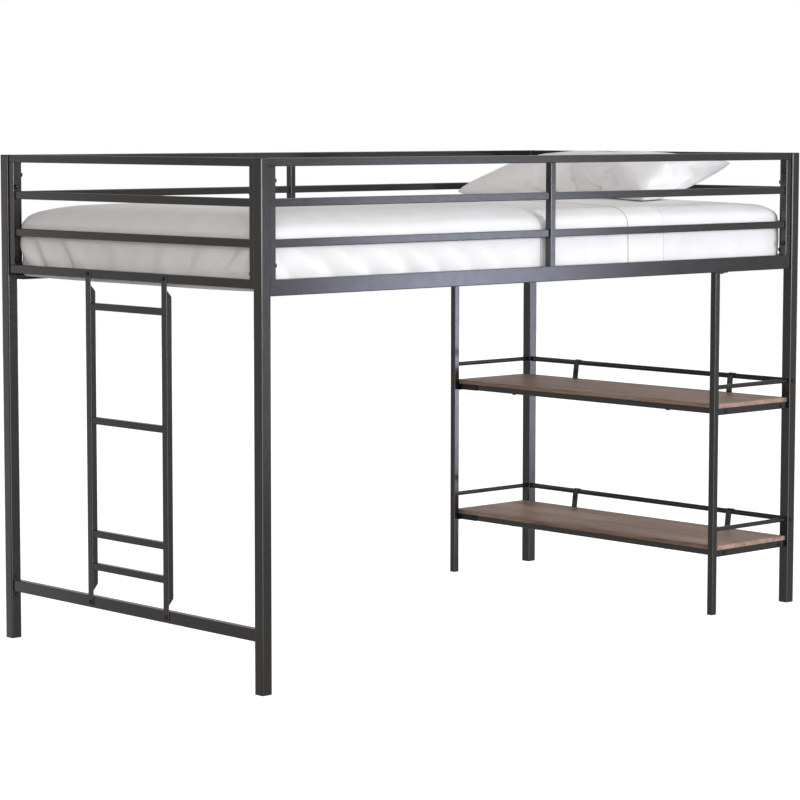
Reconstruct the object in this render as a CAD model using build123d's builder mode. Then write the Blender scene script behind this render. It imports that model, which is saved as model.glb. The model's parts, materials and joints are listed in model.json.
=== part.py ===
from build123d import *
import os

# Junior twin loft bed: a bolted steel tube frame with guard rails all round, a ladder at the left
# end and two open shelves at the right end, made up with a mattress, a sheet, a comforter and a pillow.
# Millimetres. X runs along the bed from the ladder end to the shelf end, the front long side faces
# -Y, Z is up, and the origin is on the floor at the centre of the bed.

# ---- driving dimensions ----
LENGTH = 1980.0
WIDTH = 1054.0
HEIGHT = 1275.0
POST = 30.0
POST_WALL = 1.5
POST_RADIUS = 3.0
TUBE_WALL = 1.5
TUBE_RADIUS = 2.0
MIN_RADIUS = 0.4
CAP = 2.0
CAP_PLUG = 16.0
PLUG_GAP = 0.1
CUT_OVER = 1.0

RAIL_DEPTH = 20.0
TOP_RAIL_HEIGHT = 20.0
GUARD_HEIGHT = 20.0
GUARD_DEPTH = 10.0
GUARD_TOPS = (1180.0, 1084.0)
SIDE_RAIL_TOP = 989.5
SIDE_RAIL_HEIGHT = 39.5
END_RAIL_HEIGHT = 22.5
STILE = 20.0
MIDDLE_STILE = 18.0
SIDE_BOLT_HEIGHTS = (1222.0, 1022.0)
END_BOLT_HEIGHTS = (1192.0, 1002.0)

CROSS_RAIL_HEIGHT = 30.0
CROSS_RAIL_MIDDLE = 141.0
END_PLATE = 2.0
END_PLATE_HEIGHT = 72.0
END_PLATE_WIDTH = 24.0
END_PLATE_RADIUS = 4.0
END_PLATE_BOLT_STEP = 25.0

LADDER_FACE = 2.0
LADDER_WIDTH = 329.0
LADDER_TUBE = 20.0
LADDER_DEPTH = 18.0
LADDER_TAB = 3.0
LADDER_BOTTOM = 133.0
LADDER_TOP = 988.0
LADDER_CUT_LOW = (171.0, 190.0)
LADDER_CUT_HIGH = (932.0, 950.0)
RUNG_TOPS = (905.0, 615.5, 326.0, 242.0)
RUNG_HEIGHT = 17.5
RUNG_SETBACK = 2.0

LEDGE_LEG = 25.0
LEDGE_THICK = 2.0
LEDGE_END_GAP = 5.0
SLAT_COUNT = 10
SLAT_PITCH = 175.0
SLAT_WIDTH = 32.0
SLAT_HEIGHT = 9.5
SLAT_WALL = 1.2
SLAT_END_GAP = 0.5
SLAT_SCREW_INSET = 9.0

UPRIGHT = 19.0
UPRIGHT_FACE = 643.0
TOP_PLATE = 2.0
TOP_PLATE_REACH = 31.0
BOARD_TOPS = (586.0, 191.0)
SHELF_NAMES = ("upper", "lower")
BOARD_THICK = 12.0
BOARD_HALF_WIDTH = 518.0
BOARD_CORNER = 1.0
END_TUBE = 19.0
LONG_TUBE_HEIGHT = 16.0
LONG_TUBE_DEPTH = 15.0
BRACE_WIDTH = 20.0
BRACE_OFFSET = 304.0
TAB = 2.5
TAB_LENGTH = 50.0
TAB_HEIGHT = 16.0
UPRIGHT_BOLT_INSET = 35.0
POST_BOLT_INSET = 25.0
CORNER_BRACKET = 2.0
CORNER_BRACKET_LEG = 78.0
CORNER_BRACKET_INSET = 2.0
CORNER_BRACKET_GAP = 0.5

GALLEY_RISE = 46.5
GALLEY_LONG = 15.0
GALLEY_SHORT = 12.5
GALLEY_WALL = 1.2
GALLEY_SHORT_OFFSET = 514.0
STRAP = 2.0
STRAP_WIDTH = 20.0
STRAP_END_ANGLE = 20.0
STRAP_BEND_RISE = 3.0
INSERT_LENGTH = 16.0

BOLT = 6.0
BOLT_HOLE = 6.6
HEAD = 12.0
HEAD_HEIGHT = 3.0
LOW_HEAD_HEIGHT = 2.0
TALL_HEAD_HEIGHT = 8.0
HEAD_ROUNDING = 0.6
LARGEST_ROUNDING = 3.0
BOLT_TIP = 1.0
GALLEY_BOLT_REACH = 12.0
SOCKET = 4.0
SOCKET_DEPTH = 1.2
NUT_FLATS = 10.0
NUT_HEIGHT = 5.0
NUT_BORE = 6.1
WASHER_RADIUS = 7.0
BOARD_SCREW_HEAD = 6.5
BOARD_SCREW_WASHER = 1.5
BOARD_SCREW_GRIP = 8.0
BOARD_SCREW_INSET = 35.0
SCREW_HOLE_SPARE = 0.5

MATTRESS_BOTTOM = 961.8
MATTRESS_TOP = 1129.0
MATTRESS_HALF = (950.0, 488.0)
MATTRESS_CORNER = 60.0
MATTRESS_EDGE = 34.0
SOFT_GAP = 0.3
SHEET = 1.5
SHEET_END = 460.0
COMFORTER_SIDE = 5.0
COMFORTER_TOP = 18.0
COMFORTER_EDGE = 42.0
COMFORTER_END = 5.0
BEDDING_HEM = 968.0
PILLOW = (370.0, 740.0, 90.0)
PILLOW_CENTRE = (781.0, 80.0)
PILLOW_TILT = 12.5
PILLOW_CORNER = 70.0
PILLOW_EDGE = 44.0
PILLOW_REST = 0.6

# ---- worked-out places ----
HALF_L = LENGTH / 2
HALF_W = WIDTH / 2
POST_X = HALF_L - POST / 2
POST_Y = HALF_W - POST / 2
INNER_X = HALF_L - POST
INNER_Y = HALF_W - POST
TOP_RAIL_BOTTOM = HEIGHT - TOP_RAIL_HEIGHT
SIDE_RAIL_BOTTOM = SIDE_RAIL_TOP - SIDE_RAIL_HEIGHT
UPRIGHT_INNER = UPRIGHT_FACE + UPRIGHT
UPRIGHT_TOP = SIDE_RAIL_BOTTOM - TOP_PLATE
LEDGE_TOP = SIDE_RAIL_BOTTOM + LEDGE_THICK
END_TUBE_Y = BOARD_HALF_WIDTH - END_TUBE / 2
TAB_Y = BOARD_HALF_WIDTH - END_TUBE - TAB / 2
LONG_TUBE_HALF = BOARD_HALF_WIDTH - END_TUBE - TAB
UPRIGHT_BOLT_X = UPRIGHT_INNER + UPRIGHT_BOLT_INSET
POST_BOLT_X = INNER_X - POST_BOLT_INSET
LADDER_Y = (LADDER_WIDTH - LADDER_TUBE) / 2
LADDER_X = -HALF_L + LADDER_FACE
POST_PLUG = POST - 2 * (POST_WALL + PLUG_GAP)
UPRIGHT_PLUG = UPRIGHT - 2 * (TUBE_WALL + PLUG_GAP)
SIDES = (("left", -1), ("right", 1))
FACES = (("front", -1), ("back", 1))

os.makedirs("parts", exist_ok=True)


def save(builder, label):
    """Label a finished piece and write its STEP file."""
    builder.part.label = label
    export_step(builder.part, f"parts/{label}.step")


def ring(width, height, wall, radius):
    """Add the hollow section of a rectangular tube to the sketch being made."""
    RectangleRounded(width, height, radius)
    inner_radius = max(radius - wall, MIN_RADIUS)
    RectangleRounded(width - 2 * wall, height - 2 * wall, inner_radius, mode=Mode.SUBTRACT)


def tube_along_x(x0, x1, y, z, depth, height, wall=TUBE_WALL, radius=TUBE_RADIUS):
    """Add a rectangular tube that runs along X, centred on y and z."""
    with BuildSketch(Plane.YZ.offset(x0)) as section:
        with Locations((y, z)):
            ring(depth, height, wall, radius)
    extrude(section.sketch, amount=x1 - x0)


def tube_along_y(y0, y1, x, z, depth, height, wall=TUBE_WALL, radius=TUBE_RADIUS):
    """Add a rectangular tube that runs along Y, centred on x and z."""
    with BuildSketch(Plane.XZ.offset(-y1)) as section:
        with Locations((x, z)):
            ring(depth, height, wall, radius)
    extrude(section.sketch, amount=y1 - y0)


def tube_along_z(z0, z1, x, y, width, depth, wall=TUBE_WALL, radius=TUBE_RADIUS):
    """Add a rectangular tube that stands upright, centred on x and y."""
    with BuildSketch(Plane.XY.offset(z0)) as section:
        with Locations((x, y)):
            ring(width, depth, wall, radius)
    extrude(section.sketch, amount=z1 - z0)


def bar_between(low, high):
    """Add a plain rectangular bar between two opposite corners."""
    centre = [(a + b) / 2 for a, b in zip(low, high)]
    with Locations(tuple(centre)):
        Box(*[b - a for a, b in zip(low, high)])


def facing(point, direction):
    """A place at a point whose Z axis looks along a direction."""
    return Location(Plane(origin=point, z_dir=direction))


def drill(point, direction, depth, diameter=BOLT_HOLE):
    """Cut a round hole from a point on a face, to a depth along a direction."""
    with Locations(facing(point, direction)):
        Cylinder(diameter / 2, depth, align=(Align.CENTER, Align.CENTER, Align.MIN), mode=Mode.SUBTRACT)


# ---- fasteners: each is drawn once, head down the -Z side and shank along +Z ----
def make_bolt(shank, head_height):
    """A round-edged bolt with a hexagon socket; the face under its head is at z = 0."""
    with BuildPart() as bolt:
        with BuildSketch(Plane.XY.offset(-head_height)):
            Circle(HEAD / 2)
        extrude(amount=head_height)
        fillet(bolt.edges().sort_by(Axis.Z)[0], radius=min(head_height * HEAD_ROUNDING, LARGEST_ROUNDING))
        with BuildSketch(Plane.XY):
            Circle(BOLT / 2)
        extrude(amount=shank)
        with BuildSketch(Plane.XY.offset(-head_height)):
            RegularPolygon(SOCKET / 2, 6, major_radius=False)
        extrude(amount=SOCKET_DEPTH, mode=Mode.SUBTRACT)
    return bolt.part


def make_hex_screw(shank, head_height):
    """A screw with a plain hexagon head and a washer face at z = 0."""
    with BuildPart() as screw:
        with BuildSketch(Plane.XY):
            Circle(BOLT / 2)
        extrude(amount=shank)
        with BuildSketch(Plane.XY.offset(-BOARD_SCREW_WASHER)):
            Circle(WASHER_RADIUS)
        extrude(amount=BOARD_SCREW_WASHER)
        with BuildSketch(Plane.XY.offset(-head_height)):
            RegularPolygon(NUT_FLATS / 2, 6, major_radius=False)
        extrude(amount=head_height - BOARD_SCREW_WASHER)
    return screw.part


def make_nut():
    """A hexagon nut that stands on z = 0."""
    with BuildPart() as nut:
        with BuildSketch(Plane.XY):
            RegularPolygon(NUT_FLATS / 2, 6, major_radius=False)
            Circle(NUT_BORE / 2, mode=Mode.SUBTRACT)
        extrude(amount=NUT_HEIGHT)
    return nut.part


# Bolt places: (point under the head, direction of the shank)
side_panel_bolts = [
    ((sx * (INNER_X - STILE), sy * POST_Y, z), (sx, 0, 0))
    for _, sx in SIDES
    for _, sy in FACES
    for z in SIDE_BOLT_HEIGHTS
]
end_panel_bolts = [
    ((sx * POST_X, sy * (INNER_Y - STILE), z), (0, sy, 0))
    for _, sx in SIDES
    for _, sy in FACES
    for z in END_BOLT_HEIGHTS
]
cross_rail_bolts = [
    ((-POST_X, sy * (INNER_Y - END_PLATE), CROSS_RAIL_MIDDLE + step), (0, sy, 0))
    for _, sy in FACES
    for step in (-END_PLATE_BOLT_STEP, END_PLATE_BOLT_STEP)
]
ladder_bolt_heights = (CROSS_RAIL_MIDDLE, SIDE_RAIL_TOP - END_RAIL_HEIGHT / 2)
ladder_bolts = [
    ((LADDER_X, sy * LADDER_Y, z), (1, 0, 0)) for _, sy in FACES for z in ladder_bolt_heights
]
top_plate_bolts = [
    ((UPRIGHT_INNER + TOP_PLATE_REACH / 2, sy * POST_Y, UPRIGHT_TOP), (0, 0, 1)) for _, sy in FACES
]
slat_middles = [(i - (SLAT_COUNT - 1) / 2) * SLAT_PITCH for i in range(SLAT_COUNT)]
slat_screw_y = INNER_Y - SLAT_SCREW_INSET


# ---- corner posts ----
for side, sx in SIDES:
    for face, sy in FACES:
        with BuildPart() as post:
            tube_along_z(CAP, HEIGHT - CAP, sx * POST_X, sy * POST_Y, POST, POST, POST_WALL, POST_RADIUS)
            for z in SIDE_BOLT_HEIGHTS:
                drill((sx * INNER_X, sy * POST_Y, z), (sx, 0, 0), POST_WALL)
            for z in END_BOLT_HEIGHTS:
                drill((sx * POST_X, sy * INNER_Y, z), (0, sy, 0), POST_WALL)
            if side == "left":
                for step in (-END_PLATE_BOLT_STEP, END_PLATE_BOLT_STEP):
                    drill((sx * POST_X, sy * INNER_Y, CROSS_RAIL_MIDDLE + step), (0, sy, 0), POST_WALL)
            else:
                for top in BOARD_TOPS:
                    drill((sx * POST_X, sy * INNER_Y, top + GALLEY_RISE), (0, sy, 0), POST)
        save(post, f"corner_post_{face}_{side}")

with BuildPart() as post_top_caps:
    with BuildSketch(Plane.XY.offset(HEIGHT - CAP)):
        with GridLocations(2 * POST_X, 2 * POST_Y, 2, 2):
            RectangleRounded(POST, POST, POST_RADIUS)
    extrude(amount=CAP)
    with BuildSketch(Plane.XY.offset(HEIGHT - CAP - CAP_PLUG)):
        with GridLocations(2 * POST_X, 2 * POST_Y, 2, 2):
            RectangleRounded(POST_PLUG, POST_PLUG, POST_RADIUS / 2)
    extrude(amount=CAP_PLUG)
save(post_top_caps, "post_top_caps")

# Feet: a plug inside each tube and a pad as wide as the tube below it
with BuildPart() as foot_caps:
    with BuildSketch(Plane.XY):
        with GridLocations(2 * POST_X, 2 * POST_Y, 2, 2):
            RectangleRounded(POST, POST, POST_RADIUS)
        for _, sy in FACES:
            with Locations((UPRIGHT_FACE + UPRIGHT / 2, sy * POST_Y)):
                RectangleRounded(UPRIGHT, UPRIGHT, TUBE_RADIUS)
    extrude(amount=CAP)
    with BuildSketch(Plane.XY.offset(CAP)):
        with GridLocations(2 * POST_X, 2 * POST_Y, 2, 2):
            RectangleRounded(POST_PLUG, POST_PLUG, POST_RADIUS / 2)
        for _, sy in FACES:
            with Locations((UPRIGHT_FACE + UPRIGHT / 2, sy * POST_Y)):
                RectangleRounded(UPRIGHT_PLUG, UPRIGHT_PLUG, MIN_RADIUS)
    extrude(amount=CAP_PLUG)
save(foot_caps, "foot_caps")

# ---- long side panels: top rail, guard rails, stiles and side rail ----
for face, sy in FACES:
    y = sy * POST_Y
    with BuildPart() as top_rail:
        tube_along_x(-INNER_X, INNER_X, y, HEIGHT - TOP_RAIL_HEIGHT / 2, RAIL_DEPTH, TOP_RAIL_HEIGHT)
    save(top_rail, f"{face}_top_rail")

    with BuildPart() as guard_rails:
        for top in GUARD_TOPS:
            for x0, x1 in ((-INNER_X + STILE, -MIDDLE_STILE / 2), (MIDDLE_STILE / 2, INNER_X - STILE)):
                tube_along_x(x0, x1, y, top - GUARD_HEIGHT / 2, GUARD_DEPTH, GUARD_HEIGHT)
    save(guard_rails, f"{face}_guard_rails")

    with BuildPart() as side_rail:
        middle = SIDE_RAIL_TOP - SIDE_RAIL_HEIGHT / 2
        tube_along_x(-INNER_X, INNER_X, y, middle, RAIL_DEPTH, SIDE_RAIL_HEIGHT)
        bolt_x = UPRIGHT_INNER + TOP_PLATE_REACH / 2
        drill((bolt_x, y, SIDE_RAIL_BOTTOM), (0, 0, 1), TUBE_WALL)
    save(side_rail, f"{face}_side_rail")

    with BuildPart() as stiles:
        for sx in (-1, 1):
            x = sx * (INNER_X - STILE / 2)
            tube_along_z(SIDE_RAIL_TOP, TOP_RAIL_BOTTOM, x, y, STILE, RAIL_DEPTH)
            for z in SIDE_BOLT_HEIGHTS:
                drill((sx * (INNER_X - STILE), y, z), (sx, 0, 0), STILE)
        tube_along_z(SIDE_RAIL_TOP, TOP_RAIL_BOTTOM, 0, y, MIDDLE_STILE, RAIL_DEPTH)
    save(stiles, f"{face}_panel_stiles")

# ---- end panels: top rail, guard rails, stiles and bottom rail ----
for side, sx in SIDES:
    x = sx * POST_X
    with BuildPart() as top_rail:
        tube_along_y(-INNER_Y, INNER_Y, x, HEIGHT - TOP_RAIL_HEIGHT / 2, RAIL_DEPTH, TOP_RAIL_HEIGHT)
    save(top_rail, f"{side}_end_top_rail")

    with BuildPart() as guard_rails:
        reach = INNER_Y - STILE
        for top in GUARD_TOPS:
            tube_along_y(-reach, reach, x, top - GUARD_HEIGHT / 2, GUARD_DEPTH, GUARD_HEIGHT)
    save(guard_rails, f"{side}_end_guard_rails")

    with BuildPart() as bottom_rail:
        middle = SIDE_RAIL_TOP - END_RAIL_HEIGHT / 2
        tube_along_y(-INNER_Y, INNER_Y, x, middle, RAIL_DEPTH, END_RAIL_HEIGHT)
        if side == "left":
            for _, sy in FACES:
                drill((-POST_X - RAIL_DEPTH / 2, sy * LADDER_Y, middle), (1, 0, 0), TUBE_WALL)
    save(bottom_rail, f"{side}_end_bottom_rail")

    with BuildPart() as stiles:
        for _, sy in FACES:
            y = sy * (INNER_Y - STILE / 2)
            tube_along_z(SIDE_RAIL_TOP, TOP_RAIL_BOTTOM, x, y, RAIL_DEPTH, STILE)
            for z in END_BOLT_HEIGHTS:
                drill((x, sy * (INNER_Y - STILE), z), (0, sy, 0), STILE)
    save(stiles, f"{side}_end_stiles")

# ---- cross rail low down at the ladder end, with an end plate at each post ----
with BuildPart() as cross_rail:
    reach = INNER_Y - END_PLATE
    tube_along_y(-reach, reach, -POST_X, CROSS_RAIL_MIDDLE, RAIL_DEPTH, CROSS_RAIL_HEIGHT)
    for _, sy in FACES:
        drill((-POST_X - RAIL_DEPTH / 2, sy * LADDER_Y, CROSS_RAIL_MIDDLE), (1, 0, 0), TUBE_WALL)
save(cross_rail, "cross_rail")

with BuildPart() as cross_rail_end_plates:
    for _, sy in FACES:
        with BuildSketch(Plane.XZ.offset(-sy * INNER_Y)):
            with Locations((-POST_X, CROSS_RAIL_MIDDLE)):
                RectangleRounded(END_PLATE_WIDTH, END_PLATE_HEIGHT, END_PLATE_RADIUS)
                with Locations((0, -END_PLATE_BOLT_STEP), (0, END_PLATE_BOLT_STEP)):
                    Circle(BOLT_HOLE / 2, mode=Mode.SUBTRACT)
        extrude(amount=sy * END_PLATE)
save(cross_rail_end_plates, "cross_rail_end_plates")

# ---- ladder: uprights cut at 45 degrees to a shallow channel that laps over the rails ----
cut_depth = LADDER_X + LADDER_DEPTH + CUT_OVER
tab_depth = LADDER_X + LADDER_TAB
for face, sy in FACES:
    y = sy * LADDER_Y
    with BuildPart() as ladder_upright:
        x = LADDER_X + LADDER_DEPTH / 2
        tube_along_z(LADDER_BOTTOM, LADDER_TOP, x, y, LADDER_DEPTH, LADDER_TUBE)
        with BuildSketch(Plane.XZ.offset(-y)):
            with BuildLine():
                Polyline(
                    (tab_depth, LADDER_BOTTOM - CUT_OVER),
                    (tab_depth, LADDER_CUT_LOW[0]),
                    (cut_depth, LADDER_CUT_LOW[1]),
                    (cut_depth, LADDER_BOTTOM - CUT_OVER),
                    close=True,
                )
            make_face()
            with BuildLine():
                Polyline(
                    (tab_depth, LADDER_TOP + CUT_OVER),
                    (tab_depth, LADDER_CUT_HIGH[1]),
                    (cut_depth, LADDER_CUT_HIGH[0]),
                    (cut_depth, LADDER_TOP + CUT_OVER),
                    close=True,
                )
            make_face()
        extrude(amount=LADDER_TUBE, both=True, mode=Mode.SUBTRACT)
        for z in ladder_bolt_heights:
            drill((LADDER_X, y, z), (1, 0, 0), TUBE_WALL)
    save(ladder_upright, f"ladder_upright_{face}")

for number, top in enumerate(RUNG_TOPS, start=1):
    with BuildPart() as rung:
        reach = LADDER_Y - LADDER_TUBE / 2
        depth = LADDER_DEPTH - RUNG_SETBACK
        x = LADDER_X + RUNG_SETBACK + depth / 2
        tube_along_y(-reach, reach, x, top - RUNG_HEIGHT / 2, depth, RUNG_HEIGHT)
    save(rung, f"ladder_rung_{number}")

# ---- slats on an angle ledge inside each side rail ----
rail_inner = POST_Y - RAIL_DEPTH / 2
ledge_reach = INNER_X - LEDGE_END_GAP
with BuildPart() as slat_ledges:
    for _, sy in FACES:
        with BuildSketch(Plane.YZ.offset(-ledge_reach)):
            with BuildLine():
                Polyline(
                    (sy * rail_inner, SIDE_RAIL_BOTTOM),
                    (sy * rail_inner, SIDE_RAIL_BOTTOM + LEDGE_LEG),
                    (sy * (rail_inner - LEDGE_THICK), SIDE_RAIL_BOTTOM + LEDGE_LEG),
                    (sy * (rail_inner - LEDGE_THICK), LEDGE_TOP),
                    (sy * (rail_inner - LEDGE_LEG), LEDGE_TOP),
                    (sy * (rail_inner - LEDGE_LEG), SIDE_RAIL_BOTTOM),
                    close=True,
                )
            make_face()
        extrude(amount=2 * ledge_reach)
        for x in slat_middles:
            drill((x, sy * slat_screw_y, SIDE_RAIL_BOTTOM), (0, 0, 1), LEDGE_THICK)
save(slat_ledges, "slat_ledges")

with BuildPart() as bed_slats:
    slat_reach = rail_inner - LEDGE_THICK - SLAT_END_GAP
    for x in slat_middles:
        z = LEDGE_TOP + SLAT_HEIGHT / 2
        tube_along_y(-slat_reach, slat_reach, x, z, SLAT_WIDTH, SLAT_HEIGHT, SLAT_WALL, TUBE_RADIUS)
        for _, sy in FACES:
            drill((x, sy * slat_screw_y, LEDGE_TOP), (0, 0, 1), SLAT_WALL)
save(bed_slats, "bed_slats")

slat_screw = make_bolt(LEDGE_THICK + SLAT_HEIGHT - SLAT_WALL, LOW_HEAD_HEIGHT)
with BuildPart() as slat_screws:
    places = [(x, sy * slat_screw_y, SIDE_RAIL_BOTTOM) for x in slat_middles for _, sy in FACES]
    with Locations(*[facing(point, (0, 0, 1)) for point in places]):
        add(slat_screw)
save(slat_screws, "slat_screws")

# ---- shelf uprights under the side rails ----
for face, sy in FACES:
    with BuildPart() as upright:
        x = UPRIGHT_FACE + UPRIGHT / 2
        tube_along_z(CAP, UPRIGHT_TOP, x, sy * POST_Y, UPRIGHT, UPRIGHT)
    save(upright, f"shelf_upright_{face}")

with BuildPart() as upright_top_plates:
    for _, sy in FACES:
        y = sy * POST_Y
        low = (UPRIGHT_FACE, y - UPRIGHT / 2, UPRIGHT_TOP)
        high = (UPRIGHT_INNER + TOP_PLATE_REACH, y + UPRIGHT / 2, SIDE_RAIL_BOTTOM)
        bar_between(low, high)
        drill((UPRIGHT_INNER + TOP_PLATE_REACH / 2, y, UPRIGHT_TOP), (0, 0, 1), TOP_PLATE)
save(upright_top_plates, "upright_top_plates")

# ---- shelves: board, frame tubes, braces, galley bars and straps ----
brace_screw_x = (UPRIGHT_INNER + BOARD_SCREW_INSET, INNER_X - BOARD_SCREW_INSET)

for name, board_top in zip(SHELF_NAMES, BOARD_TOPS):
    board_bottom = board_top - BOARD_THICK
    end_middle = board_bottom - END_TUBE / 2
    long_middle = board_bottom - LONG_TUBE_HEIGHT / 2

    with BuildPart() as board:
        low = (UPRIGHT_INNER, -BOARD_HALF_WIDTH, board_bottom)
        high = (INNER_X, BOARD_HALF_WIDTH, board_top)
        bar_between(low, high)
        fillet(board.edges().filter_by(Axis.Z), radius=BOARD_CORNER)
        for x in brace_screw_x:
            for _, sy in FACES:
                drill((x, sy * BRACE_OFFSET, board_bottom), (0, 0, 1), BOARD_SCREW_GRIP + SCREW_HOLE_SPARE)
    save(board, f"{name}_shelf_board")

    with BuildPart() as long_tubes:
        for x in (UPRIGHT_INNER + LONG_TUBE_DEPTH / 2, INNER_X - LONG_TUBE_DEPTH / 2):
            tube_along_y(-LONG_TUBE_HALF, LONG_TUBE_HALF, x, long_middle, LONG_TUBE_DEPTH, LONG_TUBE_HEIGHT)
    save(long_tubes, f"{name}_shelf_long_tubes")

    with BuildPart() as end_tubes:
        for _, sy in FACES:
            tube_along_x(UPRIGHT_INNER, INNER_X, sy * END_TUBE_Y, end_middle, END_TUBE, END_TUBE)
            for x in (UPRIGHT_BOLT_X, POST_BOLT_X):
                drill((x, sy * BOARD_HALF_WIDTH, end_middle), (0, -sy, 0), END_TUBE)
    save(end_tubes, f"{name}_shelf_end_tubes")

    with BuildPart() as galley_long_bar:
        with BuildSketch(Plane.XZ.offset(-INNER_Y)):
            with Locations((POST_X, board_top + GALLEY_RISE)):
                Circle(GALLEY_LONG / 2)
                Circle(GALLEY_LONG / 2 - GALLEY_WALL, mode=Mode.SUBTRACT)
        extrude(amount=2 * INNER_Y)
    save(galley_long_bar, f"{name}_galley_long_bar")

with BuildPart() as shelf_braces:
    for board_top in BOARD_TOPS:
        top = board_top - BOARD_THICK
        x0 = UPRIGHT_INNER + LONG_TUBE_DEPTH
        x1 = INNER_X - LONG_TUBE_DEPTH
        for _, sy in FACES:
            y = sy * BRACE_OFFSET
            tube_along_x(x0, x1, y, top - LONG_TUBE_HEIGHT / 2, BRACE_WIDTH, LONG_TUBE_HEIGHT)
            for x in brace_screw_x:
                drill((x, y, top - LONG_TUBE_HEIGHT), (0, 0, 1), LONG_TUBE_HEIGHT)
save(shelf_braces, "shelf_braces")

with BuildPart() as galley_end_bars:
    for board_top in BOARD_TOPS:
        for _, sy in FACES:
            with BuildSketch(Plane.YZ.offset(UPRIGHT_INNER)):
                with Locations((sy * GALLEY_SHORT_OFFSET, board_top + GALLEY_RISE)):
                    Circle(GALLEY_SHORT / 2)
                    Circle(GALLEY_SHORT / 2 - GALLEY_WALL, mode=Mode.SUBTRACT)
            extrude(amount=INNER_X - UPRIGHT_INNER)
save(galley_end_bars, "galley_end_bars")

# Each strap is welded to the outer long tube, leans out and wraps over the galley bar
inner_r = GALLEY_LONG / 2
outer_r = inner_r + STRAP
tip = Vector(1, 0).rotate(Axis.Z, STRAP_END_ANGLE)
with BuildPart() as galley_straps:
    for board_top in BOARD_TOPS:
        galley_z = board_top + GALLEY_RISE
        bend_z = board_top + STRAP_BEND_RISE
        foot_z = board_top - BOARD_THICK - LONG_TUBE_HEIGHT
        inner_tip = (POST_X + inner_r * tip.X, galley_z + inner_r * tip.Y)
        outer_tip = (POST_X + outer_r * tip.X, galley_z + outer_r * tip.Y)
        for _, sy in FACES:
            with BuildSketch(Plane.XZ.offset(-sy * BRACE_OFFSET)):
                with BuildLine():
                    Polyline(
                        (POST_X - outer_r, galley_z),
                        (INNER_X, bend_z),
                        (INNER_X, foot_z),
                        (INNER_X + STRAP, foot_z),
                        (INNER_X + STRAP, bend_z),
                        (POST_X - inner_r, galley_z),
                    )
                    ThreePointArc((POST_X - inner_r, galley_z), (POST_X, galley_z + inner_r), inner_tip)
                    Line(inner_tip, outer_tip)
                    ThreePointArc(outer_tip, (POST_X, galley_z + outer_r), (POST_X - outer_r, galley_z))
                make_face()
            extrude(amount=STRAP_WIDTH / 2, both=True)
save(galley_straps, "galley_straps")

# Tabs welded to the uprights and posts, behind the end tubes, and bolted through them
with BuildPart() as shelf_frame_tabs:
    for board_top in BOARD_TOPS:
        middle = board_top - BOARD_THICK - END_TUBE / 2
        for _, sy in FACES:
            for x0, bolt_x in ((UPRIGHT_INNER, UPRIGHT_BOLT_X), (INNER_X - TAB_LENGTH, POST_BOLT_X)):
                low = (x0, sy * TAB_Y - TAB / 2, middle - TAB_HEIGHT / 2)
                high = (x0 + TAB_LENGTH, sy * TAB_Y + TAB / 2, middle + TAB_HEIGHT / 2)
                bar_between(low, high)
                drill((bolt_x, sy * (TAB_Y + TAB), middle), (0, -sy, 0), 2 * TAB)
save(shelf_frame_tabs, "shelf_frame_tabs")

# Angle brackets between the back upright and the long tube of each shelf
with BuildPart() as corner_brackets:
    for board_top in BOARD_TOPS:
        top = board_top - BOARD_THICK - CORNER_BRACKET_GAP
        bottom = top - LONG_TUBE_HEIGHT
        face_y = POST_Y - UPRIGHT / 2
        low = (UPRIGHT_FACE + CORNER_BRACKET_INSET, face_y - CORNER_BRACKET, bottom)
        high = (UPRIGHT_INNER, face_y, top)
        bar_between(low, high)
        low = (UPRIGHT_INNER - CORNER_BRACKET, face_y - CORNER_BRACKET_LEG, bottom)
        high = (UPRIGHT_INNER, face_y - CORNER_BRACKET, top)
        bar_between(low, high)
save(corner_brackets, "shelf_corner_brackets")

# ---- bolts, nuts and inserts ----
panel_bolt = make_bolt(STILE + POST_WALL + NUT_HEIGHT + BOLT_TIP, TALL_HEAD_HEIGHT)
with BuildPart() as panel_bolts:
    with Locations(*[facing(point, way) for point, way in side_panel_bolts + end_panel_bolts]):
        add(panel_bolt)
save(panel_bolts, "panel_bolts")

cross_bolt = make_bolt(END_PLATE + POST_WALL + NUT_HEIGHT + BOLT_TIP, HEAD_HEIGHT)
ladder_bolt = make_bolt(LADDER_TAB + TUBE_WALL + NUT_HEIGHT + BOLT_TIP, LOW_HEAD_HEIGHT)
plate_bolt = make_bolt(TOP_PLATE + TUBE_WALL + NUT_HEIGHT + BOLT_TIP, HEAD_HEIGHT)
with BuildPart() as short_bolts:
    with Locations(*[facing(point, way) for point, way in cross_rail_bolts]):
        add(cross_bolt)
    with Locations(*[facing(point, way) for point, way in ladder_bolts]):
        add(ladder_bolt)
    with Locations(*[facing(point, way) for point, way in top_plate_bolts]):
        add(plate_bolt)
save(short_bolts, "short_bolts")

shelf_bolt = make_bolt(END_TUBE + TAB + NUT_HEIGHT + BOLT_TIP, HEAD_HEIGHT)
shelf_bolt_places = []
shelf_nut_places = []
for board_top in BOARD_TOPS:
    middle = board_top - BOARD_THICK - END_TUBE / 2
    for _, sy in FACES:
        inner = sy * (TAB_Y - TAB / 2)
        for x in (UPRIGHT_BOLT_X, POST_BOLT_X):
            shelf_nut_places.append(facing((x, inner, middle), (0, -sy, 0)))
            shelf_bolt_places.append(facing((x, sy * BOARD_HALF_WIDTH, middle), (0, -sy, 0)))
with BuildPart() as shelf_bolts:
    with Locations(*shelf_bolt_places):
        add(shelf_bolt)
save(shelf_bolts, "shelf_bolts")

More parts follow.
